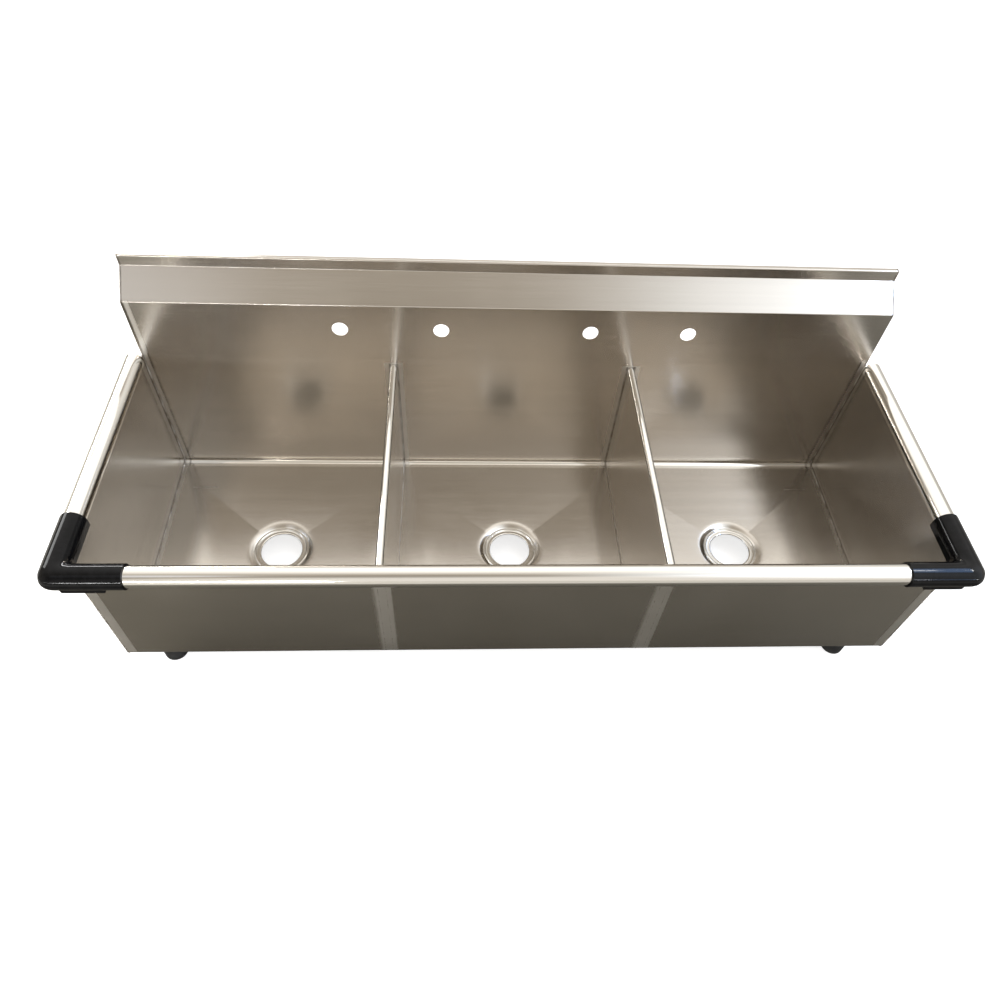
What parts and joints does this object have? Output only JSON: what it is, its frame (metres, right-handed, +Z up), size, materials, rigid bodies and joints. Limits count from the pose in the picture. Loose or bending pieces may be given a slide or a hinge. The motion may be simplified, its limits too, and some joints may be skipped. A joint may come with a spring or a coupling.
{
  "type": "three compartment sink",
  "caption": "Bent stainless steel sink body with side by side bowls, rolled rims, a high splash with faucet holes, plastic corner guards and leg sockets.",
  "frame": {"origin": "on the ground under the middle of the bounding box, level with the lower ends of the leg sockets", "axes": "+X to the right as seen from the front, +Y to the back (wall) side, +Z up"},
  "size_m": [1.6152, 0.6176, 0.5965],
  "materials": {
    "brushed_sheet": "stainless sheet with a fine lengthwise grain, brighter where bends and rims are polished",
    "guard_plastic": "glossy black moulded plastic",
    "socket_metal": "dark grey satin coated casting",
    "plate_steel": "dull mill finish steel",
    "screw_steel": "zinc plated steel"
  },
  "bodies": {
    "sink": {"back_sheet": "brushed_sheet", "front_apron": "brushed_sheet", "end_panel_left": "brushed_sheet", "end_panel_right": "brushed_sheet", "divider_left": "brushed_sheet", "divider_right": "brushed_sheet", "floor_pan_left": "brushed_sheet", "floor_pan_middle": "brushed_sheet", "floor_pan_right": "brushed_sheet", "splash_end_cap_left": "brushed_sheet", "splash_end_cap_right": "brushed_sheet", "corner_guard_left": "guard_plastic", "corner_guard_right": "guard_plastic", "leg_socket_front_left": "socket_metal", "leg_socket_front_right": "socket_metal", "leg_socket_rear_left": "socket_metal", "leg_socket_rear_right": "socket_metal", "socket_plate_front_left": "plate_steel", "socket_plate_front_right": "plate_steel", "socket_plate_rear_left": "plate_steel", "socket_plate_rear_right": "plate_steel"},
    "set_screw_front_left": {"set_screw_front_left": "screw_steel"},
    "set_screw_front_right": {"set_screw_front_right": "screw_steel"},
    "set_screw_rear_left": {"set_screw_rear_left": "screw_steel"},
    "set_screw_rear_right": {"set_screw_rear_right": "screw_steel"}
  },
  "joints": [
    {"name": "set_screw_front_left_travel", "type": "slide", "parent": "sink", "child": "set_screw_front_left", "axis": [0, -1, 0], "range_m": [-0.006, 0.003]},
    {"name": "set_screw_front_right_travel", "type": "slide", "parent": "sink", "child": "set_screw_front_right", "axis": [0, -1, 0], "range_m": [-0.006, 0.003]},
    {"name": "set_screw_rear_left_travel", "type": "slide", "parent": "sink", "child": "set_screw_rear_left", "axis": [0, 1, 0], "range_m": [-0.006, 0.003]},
    {"name": "set_screw_rear_right_travel", "type": "slide", "parent": "sink", "child": "set_screw_rear_right", "axis": [0, 1, 0], "range_m": [-0.006, 0.003]}
  ]
}
